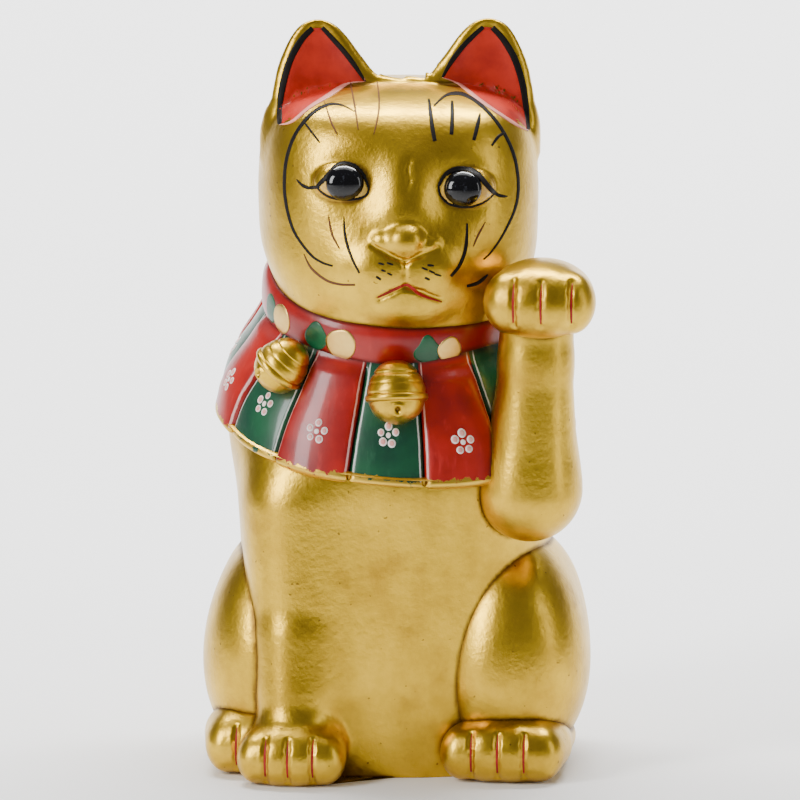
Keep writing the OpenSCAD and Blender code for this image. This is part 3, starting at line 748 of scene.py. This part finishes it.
# ---- Face lines ----------------------------------------------------------------------------------
# Fur and whiskers are drawn on the gold with a fine brush in black, thin and brownish on the cat's
# right where the brush ran dry, and the mouth is a red line with a fork under the nose.
brown = enamel_paint("brush_brown", (0.10, 0.035, 0.014), (0.16, 0.06, 0.02), 0.5, 0.05, 0.15)
bold, dry = bmesh.new(), bmesh.new()
for points, width, taper in (
        ([(-19, 265.8), (-24, 267.6), (-29.5, 267.4), (-36, 264), (-41.5, 257.6), (-45, 249.6), (-46.6, 240),
          (-46.2, 229.6), (-43.2, 218.6), (-37, 210.2), (-32.6, 207.4), (-28.4, 206.4)], 1.3, (0.25, 0.7)),
        ([(-39, 261.4), (-33, 254.2)], 1.0, (0.3, 0.6)),
        ([(-24, 226.2), (-23.6, 219), (-21.6, 211.6), (-18.2, 204.6)], 1.2, (0.3, 0.7)),
        ([(12.4, 267.6), (18, 270.4), (25.4, 270), (33, 265.4), (39.4, 257.6), (44, 247.6), (45.8, 236.6),
          (44.6, 227.4), (39.6, 217.6), (34.6, 211), (31.2, 208.2)], 1.4, (0.4, 0.5)),
        ([(10.6, 269.6), (11, 262), (12, 255.4)], 1.8, (0.5, 0.9)),
        ([(19.8, 268.8), (18.7, 257.6)], 1.8, (0.5, 0.9)),
        ([(30.6, 264.4), (27.6, 255)], 1.7, (0.4, 0.9)),
        ([(40.4, 256.6), (37.6, 255.4), (34.8, 252.4)], 1.3, (0.5, 0.7)),
        ([(24.6, 223), (24, 214), (21.6, 207.4), (17.8, 203)], 1.6, (0.4, 0.9)),
        ([(33, 201.8), (29, 199), (24.4, 198.2)], 1.7, (0.4, 0.7)),
        ([(-10.9, 208.9), (-8.6, 208.3)], 0.9, (0.7, 0.7)), ([(-7.6, 209), (-5, 208.2)], 0.9, (0.7, 0.7)),
        ([(-9.8, 206.2), (-8, 205.6)], 0.9, (0.7, 0.7)), ([(-7.4, 205), (-5.4, 204)], 0.9, (0.7, 0.7)),
        ([(-11.8, 203.6), (-9.8, 202.2)], 1.1, (0.7, 0.7)),
        ([(8.4, 208), (11, 207.6)], 1.0, (0.7, 0.7)), ([(6.2, 207), (8.6, 206)], 0.9, (0.7, 0.7)),
        ([(9, 205.8), (11.4, 204.6)], 0.9, (0.7, 0.7)), ([(11.2, 204.4), (14, 203.4)], 0.9, (0.7, 0.7)),
        ([(7.4, 203), (9.4, 202)], 1.1, (0.7, 0.7))):
    stroke(bold, points, 0.9 * width, at_face, taper=taper)
for points, width, taper in (
        ([(-19.6, 274.4), (-18.8, 267), (-18, 259.6)], 0.7, (0.3, 0.5)),
        ([(-8.8, 274), (-9.4, 267), (-12, 258)], 0.7, (0.5, 0.3)),
        ([(-30.6, 268.4), (-28.4, 262), (-26.2, 257.6)], 0.7, (0.3, 0.5)),
        ([(-30, 226.6), (-28.6, 219), (-25.8, 213.6)], 0.8, (0.3, 0.6)),
        ([(32, 223), (29, 218), (27, 213.8)], 0.8, (0.3, 0.5)),
        ([(-39.4, 210), (-36.6, 204.6), (-31, 200.4), (-25.4, 199.2), (-19.8, 199.6)], 1.0, (0.3, 0.8))):
    stroke(dry, points, width, at_face, taper=taper)
piece("face_lines", bold, black)
piece("face_hairlines", dry, brown)
mouth_red = enamel_paint("mouth_red", (0.36, 0.012, 0.008), (0.16, 0.006, 0.006), 0.4, 0.1, 0.2)
mouth = bmesh.new()
stroke(mouth, [(-11, 194.6), (-6.4, 197), (-1.6, 199.4), (-0.2, 199.6)], 1.3, at_face, taper=(0.5, 0.8))
stroke(mouth, [(-0.2, 199.6), (1.4, 199.4), (6, 195.8), (14.4, 192.4)], 1.3, at_face, taper=(0.8, 0.3))
piece("mouth_line", mouth, mouth_red)

# ---- Collar --------------------------------------------------------------------------------------
# A rounded band modelled round the neck joint in red lacquer, which hides the seam between head and
# torso. Pairs of roundels are painted on it, green with gold.
neck = (Matrix.Translation((0, 0, neck_z)) @ Matrix.Rotation(neck_turn, 4, "Z")
        @ Matrix.Rotation(neck_lean, 4, "X") @ Matrix.Rotation(-neck_turn, 4, "Z"))


def red_paint():
    p = Paint("red_lacquer_paint", Coat_Weight=0.25, Coat_Roughness=0.12, Specular_IOR_Level=0.35)
    broad, streak = p.noise(40, 4), p.noise(220, 3, 0.6, (1, 1, 0.18))
    worn = p.noise(130, 5, 0.7).step(0.66, 0.74)
    colour = p.mix((0.38, 0.009, 0.005), (0.22, 0.004, 0.004), broad.step(0.3, 0.7))
    colour = p.mix(colour, (0.50, 0.03, 0.018), streak.step(0.6, 0.85) * 0.4)
    # Painted shade: the lacquer goes near black where the collar meets another piece and in hollows.
    colour = p.mix(colour, (0.03, 0.004, 0.004), p.mask("crease").step(0.15, 0.9) * 0.8)
    p.set(Base_Color=p.mix(colour, (0.2, 0.02, 0.015), worn * 0.5), Roughness=0.26 + 0.14 * streak,
          Normal=p.bump(streak, 0.00008))
    return p.material


red = red_paint()
collar_middle, collar_out, collar_in, collar_tall, collar_sag = 47.8, 5.9, 3.5, 9.4, -1.8
neck_round = 53.5
bm = bmesh.new()
profile = bmesh.ops.create_circle(bm, segments=40, radius=1)["verts"]
for v in profile:
    t = math.atan2(v.co.y, v.co.x)
    out = math.copysign(abs(math.cos(t))**0.6, math.cos(t))
    up = math.copysign(abs(math.sin(t))**0.75, math.sin(t))
    v.co = Vector((collar_middle + (collar_out if out > 0 else collar_in) * out, 0,
                   collar_tall * up + collar_sag))
bmesh.ops.spin(bm, geom=bm.edges[:] + bm.verts[:], cent=(0, 0, 0), axis=(0, 0, 1), angle=2 * math.pi,
               steps=160, use_merge=True)
bmesh.ops.transform(bm, matrix=neck, verts=bm.verts)
bmesh.ops.recalc_face_normals(bm, faces=bm.faces)
collar_form = BVHTree.FromBMesh(bm)
piece("collar_band", bm, red, ["collar"])


def round_neck(form):
    """Places on a form that goes round the neck: u is the length round it from the front, z the height."""
    def at(u, z):
        turn = u / neck_round
        start = neck @ Vector((120 * math.sin(turn), -120 * math.cos(turn), z))
        towards = neck.to_3x3() @ Vector((-math.sin(turn), math.cos(turn), 0))
        point, normal, _, _ = form.ray_cast(start, towards)
        return (point, normal) if point else (None, None)
    return at


green_enamel = enamel_paint("green_enamel", (0.006, 0.10, 0.035), (0.004, 0.05, 0.02))
leaf = Paint("gold_leaf", Metallic=1.0)
leaf.set(Base_Color=leaf.mix((0.85, 0.62, 0.20), (0.75, 0.42, 0.10), leaf.noise(300)),
         Roughness=0.3 + 0.15 * leaf.noise(150))
gold_leaf = leaf.material
greens, golds = bmesh.new(), bmesh.new()
on_collar = round_neck(collar_form)
for k, (turn, gap, tall) in enumerate((
        (-63, 9.5, 6.2), (-31, 11.5, 6.8), (19, 9, 5.4), (68, 10, 6), (112, 11, 6), (158, 10, 6),
        (204, 11, 6), (252, 10, 6))):
    u = math.radians(turn) * neck_round
    blot(greens, oval((u, -1.6), (5.2, 6), 48, 0.035, k), (u, -1.6), on_collar)
    blot(golds, oval((u + gap, -2), (tall * 0.94, tall), 48, 0.015, k + 20), (u + gap, -2), on_collar,
         lift=0.2)
piece("collar_greens", greens, green_enamel)
piece("collar_golds", golds, gold_leaf)

# ---- Pleated bib ---------------------------------------------------------------------------------
# Sixteen box pleats modelled in clay hang from the collar, red ones standing proud of green ones.
# They are lacquered, black in the grooves, with a bare gold hem, white lines along the folds as a
# painted highlight and painted shade in the creases.
bib_stations = (
    (140, 69.2, 62.8, 57.2, 1), (141.2, 69.6, 63.2, 57.6, 1), (154.4, 66, 60, 55, 1),
    (168.8, 57, 53.6, 50, 1), (180.4, 50.8, 48.8, 47.6, 1), (188, 49.8, 48, 47, 1))
bib_rows = smooth_rows(bib_stations, 46)


def bib_ring(station):
    """One level of the bib as points by their angle about the neck, counted from the front."""
    z, wide, front, rear, share = station
    t = np.linspace(-math.pi, math.pi, 1441)
    x = wide * np.sign(np.cos(t)) * np.abs(np.cos(t))**(2 / 2.2)
    y = np.where(np.sin(t) > 0, rear, front) * np.sign(np.sin(t)) * np.abs(np.sin(t))**(2 / 2.2)
    p = np.stack([x, y, z + share * lean(x, y)], 1)
    q = (p - np.array(neck.translation)) @ np.array(neck.to_3x3())
    turn = np.degrees(np.arctan2(q[:, 0], -q[:, 1]))
    order = np.argsort(turn)
    return turn[order], p[order]


bib_rings = [bib_ring(station) for station in bib_rows]


def bib_point(row, turn):
    turns, points = bib_rings[row]
    turn = (turn + 180) % 360 - 180
    return np.array([np.interp(turn, turns, points[:, i], period=360) for i in range(3)])


def pleat(name, start, end, proud, bulge, paint):
    """One pleat between two angles: a pillowed front, rounded edges and hem, and a flat back."""
    bm = bmesh.new()
    across, rows = 22, len(bib_rows)
    grid = np.array([[bib_point(r, start + (end - start) * c / across) for c in range(across + 1)]
                     for r in range(rows)])
    along = np.gradient(grid, axis=1)
    down = np.gradient(grid, axis=0)
    normal = np.cross(along, down)
    normal /= np.linalg.norm(normal, axis=2, keepdims=True)
    if (normal[:, :, :2] * grid[:, :, :2]).sum() < 0:
        normal = -normal
    loops = []
    drops, sides = [], []
    for r in range(rows):
        width = np.linalg.norm(grid[r, -1] - grid[r, 0])
        hem = math.sqrt(1 - (1 - min(1, r / 4))**2) * 0.35 + 0.65
        free = min(1, max(0, (180 - bib_rows[r][0]) / 5)) * min(1, max(0, (r - 3) / 5))
        front, reach, drop = [], [], []
        for c in range(across + 1):
            edge = min(c, across - c) / across * width
            round_off = math.sqrt(max(0.0, 1 - (1 - min(1, edge / 1.6))**2))
            swell = math.sin(math.pi * c / across)**0.6
            height = ((proud + 1.2) * round_off - 1.2 + bulge * swell) * free
            front.append(grid[r, c] + normal[r, c] * (height + 0.6 * hem - 0.4))
            reach.append(edge)
            drop.append(np.linalg.norm(grid[r, c] - grid[0, c]))
        rear = [grid[r, c] - normal[r, c] * 3.4 for c in range(across, -1, -1)]
        loop = bmesh.ops.create_circle(bm, segments=2 * across + 2, radius=1)["verts"]
        for v, place in zip(loop, front + rear):
            v.co = place
        drops += drop + drop[::-1]
        sides += reach + [0.0] * (across + 1)
        loops.append((loop, {e for v in loop for e in v.link_edges}))
    for (_, a), (_, b) in zip(loops, loops[1:]):
        bmesh.ops.bridge_loops(bm, edges=[*a, *b])
    for loop, _ in (loops[0], loops[-1]):
        bm.faces.new(loop)
    bmesh.ops.recalc_face_normals(bm, faces=bm.faces)
    front_form = BVHTree.FromBMesh(bm)
    made = piece(name.replace("pleat", "bib_pleat"), bm, paint, [name], sharp=60)
    for title, values in (("drop", drops), ("side", sides)):
        made.data.attributes.new(title, "FLOAT", "POINT").data.foreach_set("value", values)
    return front_form


def pleat_paint(name, colour, dark, line, highlight_from, highlight_to, groove):
    """Lacquer over gold. It stops short of the hem, with a painted highlight as a pale line along the folds,
    dark grooves and painted shade in the creases.
    """
    p = Paint(name, Coat_Roughness=0.1, Specular_IOR_Level=0.35)
    broad, streak, ragged = p.noise(60, 4), p.noise(260, 3, 0.6, (1, 1, 0.12)), p.noise(240, 4, 0.7)
    drop, side = p.mask("drop"), p.mask("side")
    lacquer = p.mix(colour, dark, broad.step(0.3, 0.72))
    lacquer = p.mix(lacquer, tuple(min(1, 1.5 * c + 0.02) for c in colour), streak.step(0.56, 0.75) * 0.4)
    # Painted highlight: a pale line along each fold, where the pleat's edge catches the light.
    fold_highlight = (side + 0.5 * ragged).step(highlight_from + 0.25, highlight_from + 0.4) - (side + 0.5 * ragged).step(
        highlight_to + 0.2, highlight_to + 0.4)
    lacquer = p.mix(lacquer, line, fold_highlight * 0.85)
    # Painted shade: the lacquer darkens where the pleat meets a piece other than a pleat and in hollows.
    lacquer = p.mix(lacquer, groove, p.mask("crease").step(0.15, 0.9) * 0.85)
    lacquer = p.mix(groove, lacquer, side.step(0.15, 0.5))
    bare = 1 - (drop + 7.0 * ragged + 2.5 * broad).step(6.2, 6.6)
    gilt = p.mix((0.76, 0.50, 0.06), (0.56, 0.34, 0.035), broad)
    p.set(Base_Color=p.mix(lacquer, gilt, bare), Metallic=bare, Roughness=0.3 + 0.14 * streak,
          Coat_Weight=0.35 - 0.3 * bare, Normal=p.bump(streak, 0.0001))
    return p.material


# The third colour in each is the painted highlight along the folds; the last is for the grooves and the
# painted shade.
pleat_red = pleat_paint("pleat_red_paint", (0.38, 0.009, 0.005), (0.22, 0.004, 0.004), (0.80, 0.42, 0.38),
                        0.9, 1.5, (0.05, 0.01, 0.01))
pleat_green = pleat_paint("pleat_green_paint", (0.004, 0.075, 0.028), (0.003, 0.04, 0.02), (0.66, 0.68, 0.64),
                          1.3, 1.9, (0.008, 0.012, 0.01))
pair, red_share, bib_turn = 45.0, 0.52, 4.0
bib_forms = {}
for i in range(1, 9):
    end = bib_turn + (i - 1) * pair + (1 - red_share) / 2 * pair
    bib_forms["green", i] = pleat(f"pleat_green_{i}", end - (1 - red_share) * pair - 0.1, end + 0.1, 0.0, 1.2,
                                  pleat_green)
    bib_forms["red", i] = pleat(f"pleat_red_{i}", end, end + red_share * pair, 1.2, 1.5, pleat_red)

# A plum blossom of five dots about a sixth is dabbed on each pleat.
white_dots, pink_dots = bmesh.new(), bmesh.new()
for (colour, i), form in bib_forms.items():
    at = round_neck(form)
    turn = bib_turn + (i - 1) * pair + (pair / 2 if colour == "red" else 0)
    u, z = math.radians(turn) * neck_round, -31 if colour == "red" else -29.5
    dice = np.random.default_rng(i * 7 + (colour == "red"))
    for k in range(6):
        spin = math.radians(90 + 72 * k + dice.uniform(-8, 8))
        spot = (u, z) if k == 5 else (u + 2.3 * math.cos(spin), z + 2.9 * math.sin(spin))
        size = dice.uniform(1.15, 1.5) if k < 5 else 0.9
        blot(white_dots, oval(spot, (size * 0.8, size), 16), spot, at, lift=0.1, rings=3)
        if k < 5:
            blot(pink_dots, oval(spot, (size * 0.5, size * 0.64), 12), spot, at, lift=0.22, rings=2)
white = enamel_paint("brush_white", (0.86, 0.80, 0.76), (0.78, 0.66, 0.62))
petal = enamel_paint("petal_pink", (0.78, 0.36, 0.32), (0.70, 0.24, 0.22))
piece("blossom_whites", white_dots, white)
piece("blossom_pinks", pink_dots, petal)

# ---- Bells ---------------------------------------------------------------------------------------
# Two hollow-looking jingle bells, modelled solid with tooled rings, a flange and a small rimmed
# hole, are stuck to the bib below the collar and gilded with the rest.
bell_profile = smooth_rows((
    (0, 12.6), (3.2, 12.2), (5.8, 11.1), (7.6, 9.4), (8.5, 8.2), (8.5, 7.5), (9.7, 6.2), (10.6, 4.4),
    (10.7, 3.6), (11.2, 2.4), (11.6, 0.6), (11.5, -0.6), (12.3, -1.3), (12.5, -2.6), (11.9, -3.5),
    (11.1, -4.0), (10.6, -5.6), (9.2, -8.4), (6.4, -10.9), (2.8, -12.4), (0, -12.9)), 90)
for turn, drop, name, roll, size in ((6, -13.8, "bell_centre", -4, 1.0), (-38, -12.8, "bell_right", 24, 0.9)):
    bm = bmesh.new()
    line = [bm.verts.new((r, 0, z)) for r, z in np.maximum(bell_profile, (0.0, -99))]
    for a, b in zip(line, line[1:]):
        bm.edges.new((a, b))
    bmesh.ops.spin(bm, geom=bm.edges[:] + bm.verts[:], cent=(0, 0, 0), axis=(0, 0, 1), angle=2 * math.pi,
                   steps=72, use_merge=True)
    bmesh.ops.remove_doubles(bm, verts=bm.verts, dist=0.01)
    for v in bm.verts:
        hole = math.hypot(v.co.x, v.co.z + 7.6)
        if v.co.y < 0 and hole < 5:
            rim = 0.7 * math.exp(-((hole - 2.1) / 0.7)**2)
            v.co += Vector((0, 1, 0.3)) * (1.8 * math.exp(-(hole / 1.1)**2) - rim)
    angle = math.radians(turn)
    hang = (neck @ Matrix.Translation((64.8 * math.sin(angle), -64.8 * math.cos(angle), drop))
            @ Matrix.Rotation(angle, 4, "Z") @ Matrix.Rotation(math.radians(-30), 4, "X")
            @ Matrix.Rotation(math.radians(roll), 4, "Y") @ Matrix.Scale(size, 4))
    bmesh.ops.transform(bm, matrix=hang, verts=bm.verts)
    piece(name.replace("bell", "jingle_bell"), bm, gold, [name])

# ---- Toe slits -----------------------------------------------------------------------------------
# Red paint is drawn down the slits between the toes with the tip of a brush.
toe_red = bmesh.new()
plain = Matrix()
for form, x, z0, z1, slits in (
        (torso_form, -36, 4.5, 19.5, (-9.6, -0.6, 9.2)),
        (left_paw_form, 46.5, 5, 20.5, (-11.5, -1, 9.5)),
        (right_paw_form, -47.5, 5, 20.5, (-11.5, -1, 9.5)),
        (raised_paw_form, 62, 187.5, 203, (-9.8, 1.2, 13))):
    for slit in slits:
        stroke(toe_red, [(x + slit, z0), (x + slit, (z0 + z1) / 2), (x + slit + 0.2, z1)], 0.95,
               lambda u, z: at_face(u, z, form, plain), taper=(0.7, 0.25))
piece("toe_lines", toe_red, mouth_red)

# ---- Tail ----------------------------------------------------------------------------------------
# A short round tail lies curled against the foot of the back, and is luted on like the paws.
clay = Clay()
clay.bone((-6, 60.5, 13.5), (10, 61, 12.5), 12.4, 11.5)
clay.bone((10, 61, 12.5), (25, 57, 11), 11.5, 8.5, soft=5)
skin = clay.cast(1.5)
stand(skin, 0.02)
gilded["tail_skin"] = clay
piece("tail_skin", skin, gold, ["tail"])

# ---- Painted shade in the creases ----------------------------------------------------------------
# Shade is painted where two pieces meet and in every tooled line, so each painted clay mesh
# carries how near its points lie to the next piece, and how hollow the form is there.
bib_clay, collar_clay = Clay(), Clay()
bib_clay.loft(bib_stations, lumps=False)
to_neck = np.array(neck.inverted())


def collar_depth(p):
    q = p @ to_neck[:3, :3].T + to_neck[:3, 3]
    out = (np.hypot(q[:, 0], q[:, 1]) - collar_middle) / collar_out
    return (np.hypot(out, (q[:, 2] - collar_sag) / collar_tall) - 1) * collar_out


collar_clay.add(collar_depth)
for spare in (bib_clay, collar_clay):
    spare.lumps.free()
neighbours = {**gilded, "bib_pleat": bib_clay, "collar_band": collar_clay}
for made in [o for o in bpy.data.objects if o.type == "MESH" and o.data.materials[:1] in (
        [gold], [red], [pleat_red], [pleat_green])]:
    mesh = made.data
    count = len(mesh.vertices)
    co, normal = np.empty(count * 3), np.empty(count * 3)
    mesh.vertices.foreach_get("co", co)
    mesh.vertices.foreach_get("normal", normal)
    co, normal = (co.reshape(-1, 3) - np.array(torso_axis)) * 1000, normal.reshape(-1, 3)
    near = np.min([form.depth(co) for name, form in neighbours.items()
                   if not made.name.startswith(name)], axis=0)
    crease = np.exp(-(np.maximum(near, 0) / 1.3)**2) * 0.85
    ends = np.empty(len(mesh.edges) * 2, int)
    mesh.edges.foreach_get("vertices", ends)
    a, b = ends.reshape(-1, 2).T
    links = np.bincount(ends, minlength=count)[:, None]

    def spread(values):
        total = np.zeros_like(values)
        np.add.at(total, a, values[b])
        np.add.at(total, b, values[a])
        return total / links
    hollow = ((spread(co) - co) * normal).sum(1, keepdims=True)
    for _ in range(2):
        hollow = 0.5 * hollow + 0.5 * spread(hollow)
    crease = np.maximum(crease, np.clip(hollow[:, 0] / 0.16, 0, 1))
    mesh.attributes.new("crease", "FLOAT", "POINT").data.foreach_set("value", crease)

# ---- Base plate and stopper ----------------------------------------------------------------------
# The foot is closed by a plate of bare fired clay, and its hole by a black rubber stopper with a
# cup for a fingertip.
p = Paint("fired_clay", Roughness=0.85)
grit = p.noise(900, 4, 0.7)
p.set(Base_Color=p.mix((0.72, 0.62, 0.50), (0.55, 0.44, 0.33), p.noise(50, 5) * 0.6 + grit * 0.4),
      Normal=p.bump(grit, 0.0002))
rubber = Paint("stopper_rubber_paint", Roughness=0.6)
dust = rubber.noise(120, 5, 0.7)
rubber.set(Base_Color=rubber.mix((0.016, 0.016, 0.017), (0.06, 0.057, 0.053), dust.step(0.45, 0.75)),
           Roughness=0.5 + 0.25 * dust, Normal=rubber.bump(rubber.noise(1100, 2), 0.00008))
for name, paint in (("base_plate", p.material), ("base_stopper", rubber.material)):
    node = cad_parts[name]
    node.data.materials.clear()
    node.data.materials.append(paint)
